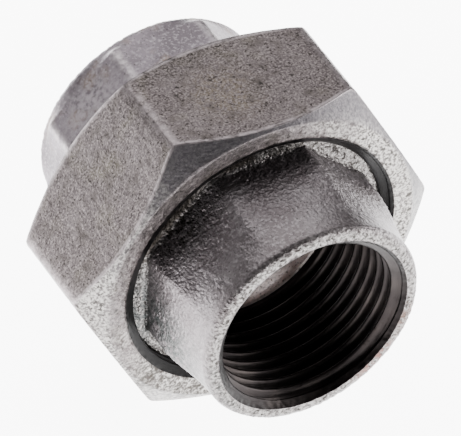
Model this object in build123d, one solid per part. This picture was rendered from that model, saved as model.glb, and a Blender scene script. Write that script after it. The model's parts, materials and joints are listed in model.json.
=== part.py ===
"""Pipe union, 1 inch, female threads at both ends, in malleable cast iron.

Two end pieces are screwed on to two pipes. A hexagonal nut, caught behind the collar of one
end piece, screws on to the other and pulls both against a flat ring gasket between them.

The waterway runs along Y. The nut lies on one of its flats, with +Z up, and the origin is on
the waterway's axis, midway between the two mouths. Screw threads are plain cylinders here.
"""

import os

from build123d import *

# The union as a whole.
LENGTH = 55.0

# Rp 1 pipe thread in both mouths, 11 threads per inch: its cylinder is the crests of the thread.
PIPE_THREAD_R = 15.15
PIPE_THREAD_DEPTH = 21.5
COUNTERSINK_R = 16.9
WAIST_R = 14.6

# Cast octagonal hub around each mouth. The front hub's corners fade slowly into a round rim,
# the tail hub's keep nearly their whole length.
HUB_TURN = 3.0
HUB_CORNER_R = 2.0
RIM_EDGE_R = 0.6
FRONT_HUB_FLATS = 39.5
FRONT_RIM_R = 19.3
FRONT_RIM_FADE = 13.0
TAIL_HUB_FLATS = 39.0
TAIL_RIM_R = 20.0
TAIL_RIM_FADE = 4.0

# G 1 1/2 thread between nut and threaded end, drawn at its pitch diameter, 46.324.
UNION_THREAD_R = 23.162
UNION_THREAD_GAP = 0.05

# Threaded end: the male boss stands behind a narrow shoulder.
SHOULDER_R = 22.6
SHOULDER_Y = -8.6
SEAT_Y = 2.1
SEAT_CHAMFER = 1.0

# Flat ring gasket on the seat.
GASKET_T = 2.0
GASKET_OUTER_R = 21.8
GASKET_INNER_R = 16.0

# Collar of the tail end, small enough to pass the nut's thread.
COLLAR_T = 4.0
COLLAR_R = 22.3
COLLAR_CHAMFER = 0.4

# Hexagonal union nut, with a flange that catches the collar.
NUT_FLATS = 56.0
NUT_FRONT_Y = -10.8
NUT_BACK_Y = 11.5
NUT_CORNER_R = 1.2
NUT_OPENING_R = 24.6
NUT_HOLE_R = 21.2
NUT_FRONT_FACE_R = 27.5
NUT_FRONT_CHAMFER_SLOPE = 0.77
NUT_BACK_FACE_R = 27.7
NUT_BACK_CHAMFER_SLOPE = 0.65
NUT_HOLE_CHAMFER = 0.5

# Places that follow from the sizes above.
FRONT_Y = -LENGTH / 2
TAIL_Y = LENGTH / 2
GASKET_BACK_Y = SEAT_Y + GASKET_T
COLLAR_BACK_Y = GASKET_BACK_Y + COLLAR_T


def turned(*points):
    """Solid of revolution about Y, from (radius, y) corner points."""
    outline = Polyline(*points, close=True)
    return revolve(make_face(outline), axis=Axis.Y)


def prism(sides, flats, corner_r, first_corner, y_low, y_high):
    """Regular prism along Y with rounded corners, its first corner at an angle from +X."""
    outline = RegularPolygon(flats / 2, sides, major_radius=False, rotation=first_corner)
    outline = fillet(outline.vertices(), corner_r)
    return extrude(Plane.XZ.offset(-y_high) * outline, y_high - y_low)


def hub(flats, mouth_y, root_y, round_r, fade_length):
    """Octagonal hub whose corners fade into the round rim of its mouth."""
    inward = 1 if root_y > mouth_y else -1
    corner_r = flats / 2 / 0.92388
    faded_y = mouth_y + inward * fade_length
    edge_y = mouth_y + inward * RIM_EDGE_R
    rim_r = round_r + RIM_EDGE_R / 2
    fade = ThreePointArc(
        (rim_r, edge_y),
        (rim_r + 0.75 * (corner_r - rim_r), (edge_y + faded_y) / 2),
        (corner_r, faded_y),
    )
    skin = Polyline(
        (corner_r, faded_y),
        (corner_r, root_y),
        (0, root_y),
        (0, mouth_y),
        (round_r - RIM_EDGE_R / 2, mouth_y),
        (rim_r, edge_y),
    )
    envelope = revolve(make_face([fade, skin]), axis=Axis.Y)
    block = prism(8, flats, HUB_CORNER_R, 22.5 + HUB_TURN, min(mouth_y, root_y), max(mouth_y, root_y))
    return block & envelope


def waterway(mouth_y, inner_y):
    """Countersink, pipe thread and narrower waist, from a mouth to the inner end of its piece."""
    inward = 1 if inner_y > mouth_y else -1
    sink_y = mouth_y + inward * (COUNTERSINK_R - PIPE_THREAD_R)
    thread_end_y = mouth_y + inward * PIPE_THREAD_DEPTH
    waist_y = thread_end_y + inward * (PIPE_THREAD_R - WAIST_R)
    return turned(
        (0, mouth_y),
        (COUNTERSINK_R, mouth_y),
        (PIPE_THREAD_R, sink_y),
        (PIPE_THREAD_R, thread_end_y),
        (WAIST_R, waist_y),
        (WAIST_R, inner_y),
        (0, inner_y),
    )


def make_threaded_end():
    """Front end piece: hub, shoulder and male boss with the flat seat on its inner end."""
    boss = turned(
        (0, SHOULDER_Y),
        (SHOULDER_R, SHOULDER_Y),
        (UNION_THREAD_R, SHOULDER_Y + UNION_THREAD_R - SHOULDER_R),
        (UNION_THREAD_R, SEAT_Y - SEAT_CHAMFER),
        (UNION_THREAD_R - SEAT_CHAMFER, SEAT_Y),
        (0, SEAT_Y),
    )
    body = hub(FRONT_HUB_FLATS, FRONT_Y, SHOULDER_Y, FRONT_RIM_R, FRONT_RIM_FADE) + boss
    return body - waterway(FRONT_Y, SEAT_Y)


def make_seal_gasket():
    """Flat ring squeezed between the two end pieces."""
    return turned(
        (GASKET_INNER_R, SEAT_Y),
        (GASKET_OUTER_R, SEAT_Y),
        (GASKET_OUTER_R, GASKET_BACK_Y),
        (GASKET_INNER_R, GASKET_BACK_Y),
    )


def make_tail_end():
    """Back end piece: collar that the nut pulls on, and its hub, which passes through the nut."""
    collar = turned(
        (0, GASKET_BACK_Y),
        (COLLAR_R - COLLAR_CHAMFER, GASKET_BACK_Y),
        (COLLAR_R, GASKET_BACK_Y + COLLAR_CHAMFER),
        (COLLAR_R, COLLAR_BACK_Y),
        (0, COLLAR_BACK_Y),
    )
    body = hub(TAIL_HUB_FLATS, TAIL_Y, COLLAR_BACK_Y, TAIL_RIM_R, TAIL_RIM_FADE) + collar
    return body - waterway(TAIL_Y, GASKET_BACK_Y)


def make_union_nut():
    """Hexagonal nut, chamfered at both ends, threaded from the front as far as its flange."""
    block = prism(6, NUT_FLATS, NUT_CORNER_R, 0, NUT_FRONT_Y, NUT_BACK_Y)
    reach = NUT_FLATS / 2 * 1.17
    envelope = turned(
        (0, NUT_FRONT_Y),
        (NUT_FRONT_FACE_R, NUT_FRONT_Y),
        (reach, NUT_FRONT_Y + (reach - NUT_FRONT_FACE_R) * NUT_FRONT_CHAMFER_SLOPE),
        (reach, NUT_BACK_Y - (reach - NUT_BACK_FACE_R) * NUT_BACK_CHAMFER_SLOPE),
        (NUT_BACK_FACE_R, NUT_BACK_Y),
        (0, NUT_BACK_Y),
    )
    thread_r = UNION_THREAD_R + UNION_THREAD_GAP
    hollow = turned(
        (0, NUT_FRONT_Y),
        (NUT_OPENING_R, NUT_FRONT_Y),
        (thread_r, NUT_FRONT_Y + NUT_OPENING_R - thread_r),
        (thread_r, COLLAR_BACK_Y),
        (NUT_HOLE_R, COLLAR_BACK_Y),
        (NUT_HOLE_R, NUT_BACK_Y - NUT_HOLE_CHAMFER),
        (NUT_HOLE_R + NUT_HOLE_CHAMFER, NUT_BACK_Y),
        (0, NUT_BACK_Y),
    )
    return (block & envelope) - hollow


PARTS = {
    "threaded_end": make_threaded_end(),
    "seal_gasket": make_seal_gasket(),
    "tail_end": make_tail_end(),
    "union_nut": make_union_nut(),
}

os.makedirs("parts", exist_ok=True)
for name, part in PARTS.items():
    export_step(part, f"parts/{name}.step")
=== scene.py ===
import json
import math

import bpy
import numpy as np
from mathutils import Matrix, Vector


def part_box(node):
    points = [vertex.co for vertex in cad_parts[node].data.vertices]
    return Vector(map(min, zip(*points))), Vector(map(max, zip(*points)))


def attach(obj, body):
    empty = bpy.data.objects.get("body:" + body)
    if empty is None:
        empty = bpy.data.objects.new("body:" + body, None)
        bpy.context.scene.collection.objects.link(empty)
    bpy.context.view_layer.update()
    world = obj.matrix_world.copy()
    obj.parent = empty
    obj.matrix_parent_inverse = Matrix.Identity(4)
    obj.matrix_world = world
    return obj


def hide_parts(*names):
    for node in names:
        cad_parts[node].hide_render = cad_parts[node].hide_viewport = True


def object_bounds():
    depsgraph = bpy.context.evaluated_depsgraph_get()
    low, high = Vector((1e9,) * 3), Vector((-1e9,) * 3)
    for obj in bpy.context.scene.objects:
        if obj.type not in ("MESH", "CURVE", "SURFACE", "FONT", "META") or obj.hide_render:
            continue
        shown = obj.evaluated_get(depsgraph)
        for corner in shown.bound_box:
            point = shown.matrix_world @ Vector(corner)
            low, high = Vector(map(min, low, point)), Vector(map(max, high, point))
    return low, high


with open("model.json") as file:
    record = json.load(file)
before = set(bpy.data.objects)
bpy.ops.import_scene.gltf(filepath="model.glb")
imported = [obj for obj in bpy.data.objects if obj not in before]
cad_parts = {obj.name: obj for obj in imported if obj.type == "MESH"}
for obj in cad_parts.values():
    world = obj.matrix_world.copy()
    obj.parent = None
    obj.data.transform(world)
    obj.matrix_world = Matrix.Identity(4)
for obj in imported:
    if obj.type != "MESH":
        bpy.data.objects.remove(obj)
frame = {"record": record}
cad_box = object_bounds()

# ---------------------------------------------------------------------------------------------
# Threaded end: malleable iron, sand cast with an octagonal hub and hot-dip galvanised. The pipe
# thread in its mouth and the male thread of its boss were cut afterwards, so they are bare iron.

MM = 0.001
PITCH = 2.309
THREAD_DEPTH = 1.479
PIPE_MINOR_R = frame["record"]["mounts"][0]["dims"]["r_mm"]
UNION_MINOR_R = 22.423


def corners_of(node):
    """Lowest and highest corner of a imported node, in millimetres."""
    low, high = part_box(node)
    return low / MM, high / MM


def linear(colour):
    """A sRGB hex colour as linear red, green, blue and alpha."""
    shares = [int(colour[i:i + 2], 16) / 255 for i in (1, 3, 5)]
    return (*[s / 12.92 if s < 0.04045 else ((s + 0.055) / 1.055) ** 2.4 for s in shares], 1)


def add(tree, kind, *feeds, named=None, **settings):
    """Adds a node. Feeds go to its inputs in order, named ones by name or place; each is a node's
    first output, an output, a plain value, or None for an input that is left alone."""
    node = tree.nodes.new(kind)
    for name, value in settings.items():
        setattr(node, name, value)
    for place, feed in [*enumerate(feeds), *(named or {}).items()]:
        if isinstance(feed, bpy.types.Node):
            tree.links.new(feed.outputs[0], node.inputs[place])
        elif isinstance(feed, bpy.types.NodeSocket):
            tree.links.new(feed, node.inputs[place])
        elif feed is not None:
            node.inputs[place].default_value = feed
    return node


def shape_tree(name, inputs):
    """A Geometry Nodes tree with a Geometry input, the named inputs, and a Geometry output."""
    tree = bpy.data.node_groups.new(name, "GeometryNodeTree")
    tree.interface.new_socket("Geometry", in_out="OUTPUT", socket_type="NodeSocketGeometry")
    tree.interface.new_socket("Geometry", in_out="INPUT", socket_type="NodeSocketGeometry")
    for label, kind in inputs.items():
        tree.interface.new_socket(label, in_out="INPUT", socket_type="NodeSocket" + kind)
    return tree, tree.nodes.new("NodeGroupInput").outputs


def shape_step(blank, tree, **values):
    """Runs a tree on a blank as its next step, with its inputs set by socket identifier."""
    step = blank.modifiers.new(tree.name, "NODES")
    step.node_group = tree
    for item in tree.interface.items_tree:
        if item.in_out == "INPUT" and item.name != "Geometry":
            step[item.identifier] = values[item.name.replace(" ", "_").lower()]


def finished(blank, name):
    """The piece with all its steps worked out, as a plain smooth mesh at the origin."""
    graph = bpy.context.evaluated_depsgraph_get()
    mesh = bpy.data.meshes.new_from_object(blank.evaluated_get(graph))
    bpy.data.objects.remove(blank)
    mesh.shade_smooth()
    piece = bpy.data.objects.new(name, mesh)
    bpy.context.scene.collection.objects.link(piece)
    return piece


def station(radius, y, spacing, soft=0.0, **marks):
    """A corner of an outline, in millimetres: its place, the spacing of rows up to the next corner,
    how far its rounding reaches along each side, and its marks. A mark that isn't given is 0."""
    return (radius, y, soft, spacing), marks


def towards(here, there):
    """Unit step from one corner to another in the plane of the outline."""
    step = (there - here)[:2]
    return step / np.hypot(*step)


def lathe(name, marks, outline, columns):
    """Turns a closed outline of corners about Y into a blank. The named marks are blended from each
    corner to the next and kept on its points."""
    outline = [np.array([*place, *[given.get(mark, 0) for mark in marks]], float)
               for place, given in outline]
    soft = []
    for before, here, after in zip(outline[-1:] + outline[:-1], outline, outline[1:] + outline[:1]):
        reach = here[2]
        if reach == 0:
            soft.append(here)
            continue
        # A rounded corner is four points: its two ends, and two between them on a shallow arc.
        for share in (-1, -0.45, 0.45, 1):
            side, other = (before, after) if share < 0 else (after, before)
            point = here.copy()
            point[:2] += towards(here, side) * reach * abs(share)
            if abs(share) < 1:
                point[:2] += towards(here, other) * reach * 0.17
            point[3] = here[3] if share == 1 else reach
            soft.append(point)
    rows = []
    for here, after in zip(soft, soft[1:] + soft[:1]):
        count = max(1, round(np.hypot(*(after - here)[:2]) / here[3]))
        rows += [here + (after - here) * i / count for i in range(count)]
    rows = np.array(rows)
    radius, y = rows[:, 0], rows[:, 1]
    # The rows run the way round that makes the faces point outwards.
    if (radius * np.roll(y, -1) - np.roll(radius, -1) * y).sum() < 0:
        rows = rows[::-1]
    turn = np.arange(columns) * 2 * math.pi / columns
    place = np.empty((len(rows), columns, 3))
    place[..., 0] = rows[:, 0:1] * np.cos(turn) * MM
    place[..., 1] = rows[:, 1:2] * MM
    place[..., 2] = rows[:, 0:1] * np.sin(turn) * MM
    index = np.arange(len(rows) * columns).reshape(len(rows), columns)
    next_row = np.roll(index, -1, 0)
    faces = np.stack([index, next_row, np.roll(next_row, -1, 1), np.roll(index, -1, 1)], -1)
    mesh = bpy.data.meshes.new(name)
    mesh.from_pydata(place.reshape(-1, 3).tolist(), [], faces.reshape(-1, 4).tolist())
    for i, mark in enumerate(marks):
        values = np.repeat(rows[:, 4 + i], columns).astype(np.float32)
        mesh.attributes.new(mark, "FLOAT", "POINT").data.foreach_set("value", values)
    blank = bpy.data.objects.new(name, mesh)
    bpy.context.scene.collection.objects.link(blank)
    return blank


def across(tree):
    """Place of a point round the waterway: x, y, z, and its radius from the axis."""
    place = add(tree, "ShaderNodeSeparateXYZ", add(tree, "GeometryNodeInputPosition"))
    x, y, z = place.outputs
    flat = add(tree, "ShaderNodeCombineXYZ", x, 0.0, z)
    return x, y, z, add(tree, "ShaderNodeVectorMath", flat, operation="LENGTH").outputs["Value"]


def polygon_radius(tree, x, z, given):
    """Radius of a polygon with softened corners in the direction of a point, and how far that is
    from the middle of its flat, 0, to its corner, 1."""
    angle = add(tree, "ShaderNodeMath", z, x, operation="ARCTAN2")
    step = add(tree, "ShaderNodeMath", 2 * math.pi, given["Sides"], operation="DIVIDE")
    half = add(tree, "ShaderNodeMath", step, 0.5, operation="MULTIPLY")
    minus = add(tree, "ShaderNodeMath", half, -1.0, operation="MULTIPLY")
    turned = add(tree, "ShaderNodeMath", angle, given["Turn"], operation="SUBTRACT")
    turned = add(tree, "ShaderNodeMath", turned, half, operation="SUBTRACT")
    off = add(tree, "ShaderNodeMath", turned, half, minus, operation="WRAP")
    lean = add(tree, "ShaderNodeMath", off, operation="COSINE")
    apothem = add(tree, "ShaderNodeMath", given["Across Flats"], 0.5, operation="MULTIPLY")
    flat = add(tree, "ShaderNodeMath", apothem, lean, operation="DIVIDE")
    soft = given["Corner Softness"]
    radius = add(tree, "ShaderNodeMath", flat, given["Corner Radius"], soft, operation="SMOOTH_MIN")
    share = add(tree, "ShaderNodeMath", off, half, operation="DIVIDE")
    return radius, add(tree, "ShaderNodeMath", share, operation="ABSOLUTE")


def moved_to(tree, geometry, x, z, old_radius, radius, y):
    """Moves every point to a new radius and y, at the same angle round the axis."""
    scale = add(tree, "ShaderNodeMath", radius, old_radius, operation="DIVIDE")
    new_x = add(tree, "ShaderNodeMath", x, scale, operation="MULTIPLY")
    new_z = add(tree, "ShaderNodeMath", z, scale, operation="MULTIPLY")
    place = add(tree, "ShaderNodeCombineXYZ", new_x, y, new_z)
    return add(tree, "GeometryNodeSetPosition", geometry, named={"Position": place})


# Octagonal flats of a hub. A point's mark "hub" says how far it goes from round to the polygon,
# and the mark "ridge" is stored along the corners between the flats.
octagon, given = shape_tree("octagon_flats", {
    "Sides": "Float", "Across Flats": "Float", "Corner Radius": "Float",
    "Corner Softness": "Float", "Turn": "Float"})
x, y, z, radius = across(octagon)
polygon, to_corner = polygon_radius(octagon, x, z, given)
hub = add(octagon, "GeometryNodeInputNamedAttribute", "hub", data_type="FLOAT")
blend = add(octagon, "ShaderNodeMix", hub, named={2: radius, 3: polygon})
ridge = add(octagon, "ShaderNodeMapRange", to_corner, 0.84, 0.97, 0.0, 1.0)
ridge = add(octagon, "ShaderNodeMath", ridge, hub, operation="MULTIPLY")
stored = add(octagon, "GeometryNodeStoreNamedAttribute", given["Geometry"], None, "ridge", ridge,
             data_type="FLOAT", domain="POINT")
moved = moved_to(octagon, stored, x, z, radius, blend.outputs[0], y)
add(octagon, "NodeGroupOutput", moved)

# Screw thread, right-handed about +Y: a 55 degree groove with rounded crests and roots, cut into
# a bore or, where Outside is set, into a shaft. The mark that Zone names gives its share of depth.
CREST_SHARE = 0.03
screw, given = shape_tree("screw_thread", {
    "Zone": "String", "Pitch": "Float", "Minor Radius": "Float", "Depth": "Float",
    "Start": "Float", "Outside": "Bool"})
x, y, z, radius = across(screw)
turn = add(screw, "ShaderNodeMath", x, z, operation="ARCTAN2")
turn = add(screw, "ShaderNodeMath", turn, 2 * math.pi, operation="DIVIDE")
along = add(screw, "ShaderNodeMath", y, given["Pitch"], operation="DIVIDE")
phase = add(screw, "ShaderNodeMath", along, turn, operation="SUBTRACT")
phase = add(screw, "ShaderNodeMath", phase, given["Start"], operation="ADD")
wave = add(screw, "ShaderNodeMath", phase, 0.5, operation="PINGPONG")
wave = add(screw, "ShaderNodeMapRange", wave, CREST_SHARE, 0.5 - CREST_SHARE, 0.0, 1.0,
           interpolation_type="SMOOTHSTEP")
zone = add(screw, "GeometryNodeInputNamedAttribute", given["Zone"], data_type="FLOAT")
depth = add(screw, "ShaderNodeMath", given["Depth"], zone, operation="MULTIPLY")
rise = add(screw, "ShaderNodeMath", depth, wave, operation="MULTIPLY")
groove = add(screw, "ShaderNodeMath", given["Minor Radius"], rise, operation="ADD")
bored = add(screw, "ShaderNodeMath", radius, groove, operation="MAXIMUM")
crest = add(screw, "ShaderNodeMath", given["Minor Radius"], given["Depth"], operation="ADD")
crest = add(screw, "ShaderNodeMath", crest, depth, operation="SUBTRACT")
ridge = add(screw, "ShaderNodeMath", crest, rise, operation="ADD")
shaft = add(screw, "ShaderNodeMath", radius, ridge, operation="MINIMUM")
chosen = add(screw, "GeometryNodeSwitch", given["Outside"], bored, shaft, input_type="FLOAT")
inside = add(screw, "ShaderNodeMath", zone, 0.001, operation="GREATER_THAN")
blend = add(screw, "ShaderNodeMix", inside, named={2: radius, 3: chosen})
moved = moved_to(screw, given["Geometry"], x, z, radius, blend.outputs[0], y)
add(screw, "NodeGroupOutput", moved)

# Cast skin: rounded bumps, broken by coarser lumps, sunk below the true surface by the depth that
# the mark "skin" gives in millimetres. Faces marked "bare" take the cut iron.
BUMP_SHARE = 0.55
skin, given = shape_tree("cast_skin", {
    "Bump Size": "Float", "Lump Size": "Float", "Skin": "Material", "Cut Iron": "Material"})
bump_scale = add(skin, "ShaderNodeMath", 1.0, given["Bump Size"], operation="DIVIDE")
bumps = add(skin, "ShaderNodeTexNoise", None, None, bump_scale, 1.5, 0.6)
bumps = add(skin, "ShaderNodeMapRange", bumps, 0.35, 0.65, 0.0, 1.0, interpolation_type="SMOOTHSTEP")
lump_scale = add(skin, "ShaderNodeMath", 1.0, given["Lump Size"], operation="DIVIDE")
lumps = add(skin, "ShaderNodeTexNoise", None, None, lump_scale, 2.0, 0.5)
lumps = add(skin, "ShaderNodeMapRange", lumps, 0.3, 0.7, 0.0, 1.0)
relief = add(skin, "ShaderNodeMix", 1 - BUMP_SHARE, named={2: bumps, 3: lumps})
depth = add(skin, "GeometryNodeInputNamedAttribute", "skin", data_type="FLOAT")
depth = add(skin, "ShaderNodeMath", depth, -MM, operation="MULTIPLY")
sunk = add(skin, "ShaderNodeMath", relief.outputs[0], depth, operation="MULTIPLY")
normal = add(skin, "GeometryNodeInputNormal")
offset = add(skin, "ShaderNodeVectorMath", normal, named={"Scale": sunk}, operation="SCALE")
moved = add(skin, "GeometryNodeSetPosition", given["Geometry"], named={"Offset": offset})
whole = add(skin, "GeometryNodeRealizeInstances", moved)
bare = add(skin, "GeometryNodeInputNamedAttribute", "bare", data_type="FLOAT")
bare = add(skin, "ShaderNodeMath", bare, 0.5, operation="GREATER_THAN")
clad = add(skin, "GeometryNodeSetMaterial", whole, None, given["Skin"])
cut = add(skin, "GeometryNodeSetMaterial", clad, bare, given["Cut Iron"])
add(skin, "NodeGroupOutput", cut)


def new_material(name, roughness, metallic):
    """A material with its tree, its shader, and the object's coordinates."""
    material = bpy.data.materials.new(name)
    material.use_nodes = True
    tree = material.node_tree
    shader = tree.nodes["Principled BSDF"]
    shader.inputs["Roughness"].default_value = roughness
    shader.inputs["Metallic"].default_value = metallic
    return material, tree, shader, add(tree, "ShaderNodeTexCoord").outputs["Object"]


def patches(tree, place, size, low, high):
    """Soft patches of a size in millimetres, 0 below the low noise level and 1 above the high."""
    noise = add(tree, "ShaderNodeTexNoise", place, None, 1 / (size * MM), 2.0)
    return add(tree, "ShaderNodeMapRange", noise, low, high, 0.0, 1.0)


def over(tree, share, under, top):
    """Colour `top` laid over `under` by a share."""
    mix = add(tree, "ShaderNodeMix", share, named={6: under, 7: top}, data_type="RGBA")
    return mix.outputs["Result"]


def grain_and_shade_share(tree, place, mark, lit_side, bare_at, full_at):
    """How coarse the zinc is where a mark allows it: most towards the given lit side, and down to a
    tenth on the far side, as painted shade there. Its edge wanders by up to 6 mm."""
    allowed = add(tree, "ShaderNodeAttribute", attribute_name=mark).outputs["Fac"]
    lightward = add(tree, "ShaderNodeVectorMath", place, lit_side, operation="DOT_PRODUCT")
    ragged = add(tree, "ShaderNodeTexNoise", place, None, 1 / (5 * MM), 2.0)
    ragged = add(tree, "ShaderNodeMapRange", ragged, 0.3, 0.7, -6 * MM, 6 * MM)
    level = add(tree, "ShaderNodeMath", lightward.outputs["Value"], ragged, operation="ADD")
    level = add(tree, "ShaderNodeMapRange", level, bare_at * MM, full_at * MM, 0.1, 1.0)
    return add(tree, "ShaderNodeMath", allowed, level, operation="MULTIPLY")


def stained(tree, place, spot, reach, under, top):
    """Colour `top` laid over `under` round a spot, broken up at random and gone at its reach."""
    spot = [at * MM for at in spot]
    away = add(tree, "ShaderNodeVectorMath", place, spot, operation="DISTANCE").outputs["Value"]
    close = add(tree, "ShaderNodeMapRange", away, reach * MM, reach * MM * 0.3, 0.0, 1.0)
    broken = add(tree, "ShaderNodeMath", close, patches(tree, place, 0.9, 0.35, 0.6),
                 operation="MULTIPLY")
    return over(tree, broken, under, top)


# Galvanised casting: zinc over a sand-cast skin, dull and uneven. It has a faint mauve-grey cast,
# paler where the zinc is thick, with dark specks in its pits and painted shade in its crevices. The
# wall of the waist is painted paler still, as painted light where light reaches it down the bore.
# Rims and faces marked "grain" sparkle with coarse, brighter grains; on the crevice faces the
# grains fade into painted shade away from the lit lower right.
zinc_cast, tree, shader, place = new_material("zinc_sand_cast", 0.42, 0.9)
colour = over(tree, patches(tree, place, 7, 0.4, 0.62), linear("#5C5557"), linear("#716B6D"))
# Painted light: the waist wall is painted pale, standing in for light that reaches it down the bore.
wall = add(tree, "ShaderNodeAttribute", attribute_name="wall").outputs["Fac"]
pale = over(tree, patches(tree, place, 2.5, 0.35, 0.6), linear("#A3938F"), linear("#D2C6C3"))
colour = over(tree, wall, colour, pale)
colour = over(tree, patches(tree, place, 0.5, 0.5, 0.8), colour, linear("#8C8688"))
colour = over(tree, patches(tree, place, 0.4, 0.6, 0.75), colour, linear("#3A3535"))
# Painted shade: the crevices at the hub's root and the boss's shoulder are darkened.
crevice_shade = add(tree, "ShaderNodeAttribute", attribute_name="crevice").outputs["Fac"]
colour = over(tree, crevice_shade, colour, linear("#2B2622"))
rim = add(tree, "ShaderNodeAttribute", attribute_name="grain").outputs["Fac"]
# On the hub's root and the boss's shoulder the grains fade into painted shade away from the lower right.
lit_side = grain_and_shade_share(tree, place, "crevice", (0.5, 0.0, -0.87), -21, -15)
grain = add(tree, "ShaderNodeMath", rim, lit_side, operation="MAXIMUM")
grains = over(tree, patches(tree, place, 0.45, 0.42, 0.6), linear("#7A7775"), linear("#464241"))
grains = over(tree, patches(tree, place, 0.7, 0.52, 0.62), grains, linear("#262321"))
colour = over(tree, grain, colour, grains)
# Painted shade on the hub's upper left inside the nut's opening, two darker grey patches lower on
# its left side, and rust at the lower right of the rim. Left and right are as seen from the front
# mouth, here and in the other materials.
for spot, reach, tone in (((-15.7, -10, 13.2), 7, "#221E1B"), ((-19, -12, -4), 10, "#3A3C3C"),
                          ((-17, -18, -9), 12, "#3E4140"), ((13, -27.5, -13), 6, "#5A403A"),
                          ((17.5, -27.5, -5), 4, "#4A3A34")):
    colour = stained(tree, place, spot, reach, colour, linear(tone))
tree.links.new(colour, shader.inputs["Base Color"])
fine = add(tree, "ShaderNodeTexNoise", place, None, 1 / (0.5 * MM), 2.0)
rough = add(tree, "ShaderNodeAttribute", attribute_name="skin").outputs["Fac"]
rough = add(tree, "ShaderNodeMapRange", rough, 0.05, 0.25, 0.25, 1.0)
bump = add(tree, "ShaderNodeBump", named={"Strength": rough, "Distance": 0.3 * MM, "Height": fine})
tree.links.new(bump.outputs[0], shader.inputs["Normal"])

# Cut iron: bare malleable iron left by the tap or die, nearly black with old cutting oil, blacker
# still with painted shade in its crevices, and drawn round in fine tool marks.
cut_iron, tree, shader, place = new_material("malleable_iron_thread_cut", 0.38, 1.0)
colour = over(tree, patches(tree, place, 5, 0.4, 0.65), linear("#1E1B1B"), linear("#2A2625"))
colour = over(tree, patches(tree, place, 0.8, 0.6, 0.75), colour, linear("#171413"))
# Painted shade: the crevices are blackened.
crevice_shade = add(tree, "ShaderNodeAttribute", attribute_name="crevice").outputs["Fac"]
colour = over(tree, crevice_shade, colour, linear("#080707"))
tree.links.new(colour, shader.inputs["Base Color"])
squeezed = add(tree, "ShaderNodeMapping", place, None, None, (1.0, 12.0, 1.0))
tool_marks = add(tree, "ShaderNodeTexNoise", squeezed, None, 1 / (2.0 * MM), 2.0)
bump = add(tree, "ShaderNodeBump", named={"Strength": 0.35, "Distance": 0.1 * MM, "Height": tool_marks})
tree.links.new(bump.outputs[0], shader.inputs["Normal"])

HUB_FLATS = 39.5
HUB_CORNER_R = 21.25
HUB_TURN = 25.5
RIM_EDGE = 1.1
RIM_SKIN = 0.06
FRONT_RIM_R = 19.3
FRONT_FADE = 13.0
FRONT_SKIN = 0.25
ROOT_R = 22.0
COUNTERSINK_R = 16.9
PIPE_THREAD_LENGTH = 21.5
THREAD_RUN_OUT = 1.2
WAIST_R = 14.6
WAIST_TAPER = 0.6


def end_piece(mouth, inward, root, inner, rim_r, fade_length, rough, shoulder):
    """Outline of an end piece, from its mouth along its hub to its root, then the corners of its
    `shoulder`, its inner face, and back through its bore. The hub fades from the round rim to the
    octagon, whose skin is `rough` deep. A point's grain is how coarse its zinc is, and its wall mark
    is how much it belongs to the waist, whose pale colour is painted light."""
    fade = [station(rim_r, mouth + inward * (RIM_EDGE + s * fade_length), 0.36,
                   hub=s * s * (3 - 2 * s), skin=RIM_SKIN + (rough - RIM_SKIN) * s,
                   grain=0.2 * (1 - s) ** 3) for s in np.linspace(0, 1, 9)]
    end = mouth + inward * PIPE_THREAD_LENGTH
    sink = mouth + inward * (COUNTERSINK_R - PIPE_MINOR_R)
    return [
        station(rim_r - RIM_EDGE, mouth, 0.25, skin=0.2, grain=1),
        station(rim_r - 0.3 * RIM_EDGE, mouth + inward * 0.3 * RIM_EDGE, 0.25, skin=0.2, grain=0.6),
        *fade,
        station(ROOT_R, root - inward * 0.9, 0.2, hub=1, skin=rough),
        station(ROOT_R, root - inward * 0.5, 0.15, hub=1, skin=rough, grain=0.8),
        station(ROOT_R, root, 0.2, hub=0.82, skin=0.2, crevice=1),
        *shoulder,
        station(WAIST_R, inner, 0.9, soft=0.2, skin=0.1, wall=1),
        station(WAIST_R, end + inward * WAIST_TAPER, 0.3, skin=0.05, wall=1),
        station(PIPE_MINOR_R, end, 0.25, bare=1, wall=0.6),
        station(PIPE_MINOR_R, end - inward * THREAD_RUN_OUT, 0.2, pipe_cut=1, bare=1),
        station(PIPE_MINOR_R, sink, 0.2, pipe_cut=1, bare=1),
        station(COUNTERSINK_R, mouth, 0.15, soft=0.12, pipe_cut=1, skin=0.15, bare=1, crevice=0.7),
        station(COUNTERSINK_R + 0.3, mouth, 0.25, skin=0.2, grain=1),
    ]


end_marks = ["hub", "pipe_cut", "union_cut", "skin", "grain", "bare", "crevice", "wall"]
low, high = corners_of("threaded_end")
SHOULDER_Y = -8.6
SHOULDER_R = 22.6
UNION_MAJOR_R = UNION_MINOR_R + THREAD_DEPTH
BOSS_LEAD_IN = 1.7
BOSS_CHAMFER = 1.6
BOSS_NOSE_R = 22.2
boss = [
    station(SHOULDER_R, SHOULDER_Y, 0.2, soft=0.1, skin=0.2, crevice=1),
    station(SHOULDER_R + 0.3, SHOULDER_Y + 0.3, 0.2, union_cut=1, crevice=1),
    station(UNION_MAJOR_R, SHOULDER_Y + BOSS_LEAD_IN, 0.25, union_cut=1, bare=1),
    station(UNION_MAJOR_R, high.y - BOSS_CHAMFER, 0.25, union_cut=1, bare=1),
    station(BOSS_NOSE_R, high.y, 1.5, union_cut=1, bare=1),
]
blank = lathe("threaded_end_blank", end_marks,
              end_piece(low.y, 1, SHOULDER_Y, high.y, FRONT_RIM_R, FRONT_FADE, FRONT_SKIN, boss), 360)
shape_step(blank, octagon, sides=8.0, across_flats=HUB_FLATS * MM, corner_radius=HUB_CORNER_R * MM,
           corner_softness=0.5 * MM, turn=math.radians(HUB_TURN))
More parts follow.
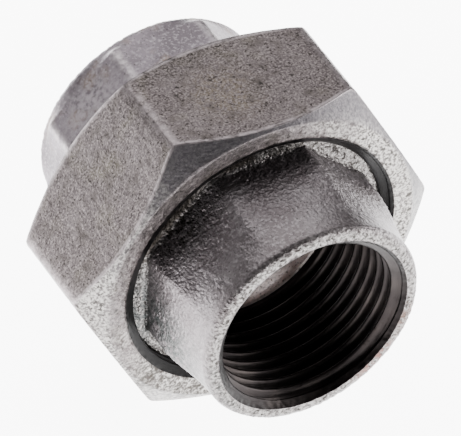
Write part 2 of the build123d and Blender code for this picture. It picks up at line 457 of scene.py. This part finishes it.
shape_step(blank, screw, zone="pipe_cut", pitch=PITCH * MM, minor_radius=PIPE_MINOR_R * MM,
           depth=THREAD_DEPTH * MM, start=0.2, outside=False)
shape_step(blank, screw, zone="union_cut", pitch=PITCH * MM, minor_radius=UNION_MINOR_R * MM,
           depth=THREAD_DEPTH * MM, start=0.0, outside=True)
shape_step(blank, skin, bump_size=0.85 * MM, lump_size=5 * MM, skin=zinc_cast, cut_iron=cut_iron)
piece = finished(blank, "threaded_end_casting")
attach(piece, "front")
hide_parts("threaded_end")

# ---------------------------------------------------------------------------------------------
# Seal gasket: a flat ring punched from black fibre sheet. It lies loose between the seat and the
# collar, and the nut's pull holds it.

# Fibre sheet: matt, charcoal, with a mottled weave pressed flat.
fibre, tree, shader, place = new_material("punched_fibre_sheet", 0.85, 0.0)
colour = over(tree, patches(tree, place, 0.8, 0.4, 0.6), linear("#1E1D1C"), linear("#3A3734"))
tree.links.new(colour, shader.inputs["Base Color"])
weave = add(tree, "ShaderNodeTexNoise", place, None, 1 / (0.5 * MM), 3.0)
bump = add(tree, "ShaderNodeBump", named={"Strength": 0.5, "Distance": 0.1 * MM, "Height": weave})
tree.links.new(bump.outputs[0], shader.inputs["Normal"])

low, high = corners_of("seal_gasket")
GASKET_BORE_R = 16.0
ring = [station(radius, y, 0.6, soft=0.25, skin=0.03) for radius, y in (
    (GASKET_BORE_R, low.y), (high.x, low.y), (high.x, high.y), (GASKET_BORE_R, high.y))]
blank = lathe("seal_gasket_blank", ["skin", "bare"], ring, 180)
shape_step(blank, skin, bump_size=1.2 * MM, lump_size=6 * MM, skin=fibre, cut_iron=fibre)
piece = finished(blank, "seal_gasket_ring")
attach(piece, "seal")
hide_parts("seal_gasket")

# ---------------------------------------------------------------------------------------------
# Tail end: the second casting, with the same mouth. Its turned collar is caught by the nut, and
# its hub passes out through the back of the nut.

# Smoother zinc of the tail: lavender-grey, thinner, with a rusty bloom in broad patches, pale on
# the ridges between its flats and paler on its upper left flat.
zinc_tail, tree, shader, place = new_material("zinc_smooth_cast", 0.5, 0.9)
colour = over(tree, patches(tree, place, 8, 0.4, 0.62), linear("#5E575C"), linear("#746C72"))
colour = over(tree, patches(tree, place, 6, 0.55, 0.7), colour, linear("#75675F"))
colour = over(tree, patches(tree, place, 0.5, 0.5, 0.8), colour, linear("#958F93"))
colour = over(tree, patches(tree, place, 0.4, 0.6, 0.75), colour, linear("#403A3A"))
ridge = add(tree, "ShaderNodeAttribute", attribute_name="ridge").outputs["Fac"]
ridge = add(tree, "ShaderNodeMath", ridge, patches(tree, place, 1.2, 0.3, 0.6), operation="MULTIPLY")
colour = over(tree, ridge, colour, linear("#A39C9E"))
colour = stained(tree, place, (-14.5, 19, 13), 9, colour, linear("#8E878B"))
tree.links.new(colour, shader.inputs["Base Color"])
fine = add(tree, "ShaderNodeTexNoise", place, None, 1 / (0.5 * MM), 2.0)
bump = add(tree, "ShaderNodeBump", named={"Strength": 0.4, "Distance": 0.1 * MM, "Height": fine})
tree.links.new(bump.outputs[0], shader.inputs["Normal"])

TAIL_FLATS = 39.0
TAIL_CORNER_R = 21.0
TAIL_RIM_R = 19.8
TAIL_FADE = 2.0
TAIL_SKIN = 0.05
COLLAR_T = 4.0
low, high = corners_of("tail_end")
COLLAR_R = high.x - 0.02
collar = [
    station(COLLAR_R, low.y + COLLAR_T, 0.6, soft=0.2, bare=1),
    station(COLLAR_R, low.y, 1.5, soft=0.35, bare=1),
]
blank = lathe("tail_end_blank", end_marks,
              end_piece(high.y, -1, low.y + COLLAR_T, low.y, TAIL_RIM_R, TAIL_FADE, TAIL_SKIN, collar),
              360)
shape_step(blank, octagon, sides=8.0, across_flats=TAIL_FLATS * MM, corner_radius=TAIL_CORNER_R * MM,
           corner_softness=0.3 * MM, turn=math.radians(HUB_TURN))
shape_step(blank, screw, zone="pipe_cut", pitch=PITCH * MM, minor_radius=PIPE_MINOR_R * MM,
           depth=THREAD_DEPTH * MM, start=0.7, outside=False)
shape_step(blank, skin, bump_size=0.85 * MM, lump_size=5 * MM, skin=zinc_tail, cut_iron=cut_iron)
piece = finished(blank, "tail_end_casting")
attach(piece, "tail")
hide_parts("tail_end")

# ---------------------------------------------------------------------------------------------
# Union nut: a cast hexagon whose ends are turned to cones, threaded from the front as far as the
# flange that catches the collar. Its flats are handled and worn, so their zinc is darker.

# Hexagon with turned ends. A point's mark "lean" takes it from an end face, 0, up the cone to the
# flats, 1, and "run" takes it from the front cone, 0, to the back one, 1. Points with no lean stay
# where the lathe put them. The mark "edge" is stored along the corners between the flats.
hexagon, given = shape_tree("hexagon_with_turned_ends", {
    "Sides": "Float", "Across Flats": "Float", "Corner Radius": "Float",
    "Corner Softness": "Float", "Turn": "Float", "Front Y": "Float", "Back Y": "Float",
    "Front Face Radius": "Float", "Back Face Radius": "Float",
    "Front Slope": "Float", "Back Slope": "Float"})
x, y, z, radius = across(hexagon)
polygon, to_corner = polygon_radius(hexagon, x, z, given)
lean = add(hexagon, "GeometryNodeInputNamedAttribute", "lean", data_type="FLOAT")
run = add(hexagon, "GeometryNodeInputNamedAttribute", "run", data_type="FLOAT")
face_r = add(hexagon, "ShaderNodeMix", run,
             named={2: given["Front Face Radius"], 3: given["Back Face Radius"]})
new_r = add(hexagon, "ShaderNodeMix", lean, named={2: face_r.outputs[0], 3: polygon})
ends = []
for end, slope_sign in (("Front", 1.0), ("Back", -1.0)):
    beyond = add(hexagon, "ShaderNodeMath", new_r, given[end + " Face Radius"], operation="SUBTRACT")
    climb = add(hexagon, "ShaderNodeMath", beyond, given[end + " Slope"], operation="MULTIPLY")
    climb = add(hexagon, "ShaderNodeMath", climb, slope_sign, operation="MULTIPLY")
    ends.append(add(hexagon, "ShaderNodeMath", given[end + " Y"], climb, operation="ADD"))
new_y = add(hexagon, "ShaderNodeMix", run, named={2: ends[0], 3: ends[1]})
outer = add(hexagon, "ShaderNodeMath", lean, 0.0001, operation="GREATER_THAN")
blend_r = add(hexagon, "ShaderNodeMix", outer, named={2: radius, 3: new_r.outputs[0]})
blend_y = add(hexagon, "ShaderNodeMix", outer, named={2: y, 3: new_y.outputs[0]})
# The edge mark holds real wear and a painted highlight along the edges.
edge = add(hexagon, "GeometryNodeInputNamedAttribute", "edge", data_type="FLOAT")
on_flats = add(hexagon, "ShaderNodeMapRange", lean, 0.9, 1.0, 0.0, 1.0)
ridge = add(hexagon, "ShaderNodeMapRange", to_corner, 0.92, 0.98, 0.0, 0.4)
ridge = add(hexagon, "ShaderNodeMath", ridge, on_flats, operation="MULTIPLY")
edge_wear_and_highlight = add(hexagon, "ShaderNodeMath", edge, ridge, operation="MAXIMUM")
stored = add(hexagon, "GeometryNodeStoreNamedAttribute", given["Geometry"], None, "edge", edge_wear_and_highlight,
             data_type="FLOAT", domain="POINT")
moved = moved_to(hexagon, stored, x, z, radius, blend_r.outputs[0], blend_y.outputs[0])
add(hexagon, "NodeGroupOutput", moved)

# Worn galvanised nut: thin zinc over rolled-in foundry pits, warm mauve-grey with olive and brown
# stains and dark specks, and pale where its edges, marked "edge", are worn, which also paints a
# highlight along them. Its turned cones are smoother and darker. Its end faces and cones carry bright
# grains of zinc, which fade as painted shade towards the side away from the light.
zinc_worn, tree, shader, place = new_material("zinc_worn_nut", 0.45, 0.9)
colour = over(tree, patches(tree, place, 9, 0.4, 0.62), linear("#433C3D"), linear("#514A4B"))
colour = over(tree, patches(tree, place, 6, 0.56, 0.75), colour, linear("#4A453D"))
# A brown stain amid the top flat, a row of grime along its back edge, and a few single spots.
for spot, reach, tone in (((-3, 0, 28), 8, "#534A40"), ((-13, 9.5, 28), 4, "#211D19"),
                          ((-9, 9.8, 28), 4, "#211D19"), ((-4, 10, 28), 4, "#211D19"),
                          ((1, 10, 28), 3, "#1A1614"), ((2, -1, 28), 2.5, "#2A2523"),
                          ((-29, -6, 6), 3.5, "#332C2A")):
    colour = stained(tree, place, spot, reach, colour, linear(tone))
colour = over(tree, patches(tree, place, 0.35, 0.42, 0.7), colour, linear("#746C6B"))
colour = over(tree, patches(tree, place, 2.2, 0.5, 0.8), colour, linear("#413B39"))
colour = over(tree, patches(tree, place, 0.42, 0.57, 0.68), colour, linear("#282321"))
colour = over(tree, patches(tree, place, 1.5, 0.68, 0.76), colour, linear("#1F1B19"))
# Real wear and a painted highlight: the edges are painted pale.
edge = add(tree, "ShaderNodeAttribute", attribute_name="edge").outputs["Fac"]
wear_and_highlight = add(tree, "ShaderNodeMath", edge, patches(tree, place, 1.6, 0.3, 0.55), operation="MULTIPLY")
colour = over(tree, wear_and_highlight, colour, linear("#A99FA1"))
turned_cone = add(tree, "ShaderNodeAttribute", attribute_name="cone").outputs["Fac"]
colour = over(tree, turned_cone, colour, linear("#3D3B3F"))
# The grains fade out as painted shade towards the upper left of the faces and the top of the cones.
ring = grain_and_shade_share(tree, place, "grain", (0.75, 0.0, -0.66), -18, 2)
cones = grain_and_shade_share(tree, place, "cone", (-0.3, 0.0, -0.95), -18, 2)
grain = add(tree, "ShaderNodeMath", ring, cones, operation="MAXIMUM")
grains = over(tree, patches(tree, place, 0.45, 0.42, 0.6), linear("#93908C"), linear("#4B4746"))
grains = over(tree, patches(tree, place, 0.8, 0.56, 0.66), grains, linear("#2B2825"))
colour = over(tree, grain, colour, grains)
# Grime on the lower left of the front face.
for spot in ((-18.1, -10.8, -18.1), (-10.8, -10.8, -23.2)):
    colour = stained(tree, place, spot, 6, colour, linear("#2E2A26"))
tree.links.new(colour, shader.inputs["Base Color"])
fine = add(tree, "ShaderNodeTexNoise", place, None, 1 / (0.4 * MM), 3.0)
bump = add(tree, "ShaderNodeBump", named={"Strength": 0.5, "Distance": 0.1 * MM, "Height": fine})
tree.links.new(bump.outputs[0], shader.inputs["Normal"])

FRONT_FACE_R = 27.5
BACK_FACE_R = 27.7
FRONT_SLOPE = 0.77
BACK_SLOPE = 0.65
FRONT_CONE_L = 3.6
BACK_CONE_L = 3.0
NUT_OPENING_R = 24.6
NUT_HOLE_R = 21.2
FLANGE_T = 3.4
RELIEF_R = 24.0
RELIEF_L = 3.0
UNION_THREAD_GAP = 0.06
low, high = corners_of("union_nut")
NUT_R = high.x
# A hair less than the CAD nut, so that the nut stays inside the CAD box.
NUT_FLATS = high.z - low.z - 0.01
FLANGE_Y = high.y - FLANGE_T
nut_marks = ["lean", "run", "union_cut", "skin", "grain", "bare", "edge", "cone", "crevice"]
blank = lathe("union_nut_blank", nut_marks, [
    station(NUT_OPENING_R, low.y, 0.3, soft=0.15, union_cut=0.3, skin=0.2, grain=1, bare=0.3, crevice=1),
    station(FRONT_FACE_R - 0.4, low.y, 0.4, skin=0.15, grain=1, cone=0.2),
    station(FRONT_FACE_R, low.y, 0.5, lean=0.0002, skin=0.12, grain=0.8, cone=0.4),
    station(FRONT_FACE_R + 0.8, low.y + 0.6, 0.3, lean=0.18, skin=0.08, grain=0.3, cone=0.8),
    station(NUT_R - 0.5, low.y + FRONT_CONE_L - 0.3, 0.2, lean=0.92, skin=0.05, cone=0.8),
    station(NUT_R, low.y + FRONT_CONE_L, 0.25, lean=1, skin=0.05, edge=1, cone=0.3),
    station(NUT_R, low.y + FRONT_CONE_L + 0.6, 0.42, lean=1, run=0.04, skin=0.1),
    station(NUT_R, high.y - BACK_CONE_L - 0.6, 0.25, lean=1, run=0.96, skin=0.1),
    station(NUT_R, high.y - BACK_CONE_L, 0.2, lean=1, run=1, skin=0.05, edge=1, cone=0.3),
    station(NUT_R - 0.5, high.y - BACK_CONE_L + 0.3, 0.45, lean=0.92, run=1, skin=0.1, cone=0.8),
    station(BACK_FACE_R + 0.8, high.y - 0.5, 0.8, lean=0.18, run=1, skin=0.08, grain=0.3, cone=0.8),
    station(BACK_FACE_R, high.y, 0.5, lean=0.0002, run=1, skin=0.12, grain=0.6, cone=0.4),
    station(BACK_FACE_R - 0.4, high.y, 0.4, skin=0.15, grain=0.6, cone=0.2),
    station(NUT_HOLE_R, high.y, 0.6, soft=0.5, skin=0.15, grain=0.6),
    station(NUT_HOLE_R, FLANGE_Y, 0.6, soft=0.2, bare=1),
    station(RELIEF_R, FLANGE_Y, 0.5, bare=1),
    station(RELIEF_R, FLANGE_Y - RELIEF_L, 0.5, bare=1),
    station(UNION_MINOR_R, FLANGE_Y - RELIEF_L - 1, 0.25, union_cut=1, bare=1),
    station(UNION_MINOR_R, low.y + 1.2, 0.2, union_cut=1, bare=1, crevice=1),
    station(NUT_OPENING_R - 0.8, low.y + 0.5, 0.2, union_cut=1, bare=1, crevice=1),
], 480)
shape_step(blank, hexagon, sides=6.0, across_flats=NUT_FLATS * MM, corner_radius=NUT_R * MM,
           corner_softness=1.4 * MM, turn=0.0, front_y=low.y * MM, back_y=high.y * MM,
           front_face_radius=FRONT_FACE_R * MM, back_face_radius=BACK_FACE_R * MM,
           front_slope=FRONT_SLOPE, back_slope=BACK_SLOPE)
shape_step(blank, screw, zone="union_cut", pitch=PITCH * MM,
           minor_radius=(UNION_MINOR_R + UNION_THREAD_GAP) * MM, depth=THREAD_DEPTH * MM, start=0.0,
           outside=False)
shape_step(blank, skin, bump_size=1.1 * MM, lump_size=6 * MM, skin=zinc_worn, cut_iron=cut_iron)
piece = finished(blank, "union_nut_hexagon")
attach(piece, "nut")
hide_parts("union_nut")

# ---------------------------------------------------------------------------------------------
# Studio: a pale sheet of paper for the floor, broad soft lamps at both sides and overhead, and a
# long lens on a camera tilted down at the union's front mouth.

FLOOR = 0.6
floor_z = cad_box[0].z
mesh = bpy.data.meshes.new("pale_floor")
mesh.from_pydata([(-FLOOR, -FLOOR, floor_z), (FLOOR, -FLOOR, floor_z),
                  (FLOOR, FLOOR, floor_z), (-FLOOR, FLOOR, floor_z)], [], [(0, 1, 2, 3)])
floor = bpy.data.objects.new("pale_floor", mesh)
bpy.context.scene.collection.objects.link(floor)
paper, tree, shader, place = new_material("pale_studio_paper", 0.9, 0.0)
shader.inputs["Base Color"].default_value = linear("#F4F4F4")
shader.inputs["Emission Color"].default_value = linear("#FFFFFF")
shader.inputs["Emission Strength"].default_value = 8.5
mesh.materials.append(paper)

world = bpy.data.worlds.new("studio")
world.use_nodes = True
world.node_tree.nodes["Background"].inputs["Color"].default_value = linear("#FFFFFF")
world.node_tree.nodes["Background"].inputs["Strength"].default_value = 0.12
bpy.context.scene.world = world


def lamp(name, place, size, power):
    """A square soft lamp that faces the union."""
    light = bpy.data.lights.new(name, "AREA")
    light.size = size
    light.energy = power
    holder = bpy.data.objects.new(name, light)
    holder.location = place
    holder.rotation_mode = "QUATERNION"
    holder.rotation_quaternion = (-holder.location).to_track_quat("-Z", "Y")
    bpy.context.scene.collection.objects.link(holder)


lamp("left_softbox", (-0.40, 0.2, 0.06), 0.25, 0.06)
lamp("right_softbox", (0.4, -0.2, 0.1), 0.25, 3.2)
lamp("overhead_softbox", (0.02, 0.32, 0.42), 0.65, 4.5)

# The camera's line of sight passes a hair to the right of the origin and below it. Its aim and
# its lens are in millimetres.
AZIMUTH = math.radians(-32.80)
ELEVATION = math.radians(42.64)
ROLL = math.radians(5.42)
DISTANCE = 1.2
LENS_LENGTH = 588.2603
SENSOR_WIDTH = 36
AIM_RIGHT = 0.28196
AIM_UP = -0.01593
back = Vector((math.sin(AZIMUTH) * math.cos(ELEVATION), -math.cos(AZIMUTH) * math.cos(ELEVATION),
               math.sin(ELEVATION)))
level = Vector((math.cos(AZIMUTH), math.sin(AZIMUTH), 0))
upright = back.cross(level)
right = level * math.cos(ROLL) + upright * math.sin(ROLL)
up = -level * math.sin(ROLL) + upright * math.cos(ROLL)
lens = bpy.data.cameras.new("long_lens")
lens.sensor_width = SENSOR_WIDTH
lens.lens = LENS_LENGTH
lens.clip_end = 10
camera = bpy.data.objects.new("long_lens", lens)
camera.matrix_world = Matrix((right, up, back)).transposed().to_4x4()
camera.location = back * DISTANCE + right * AIM_RIGHT * MM + up * AIM_UP * MM
bpy.context.scene.collection.objects.link(camera)
bpy.context.scene.camera = camera
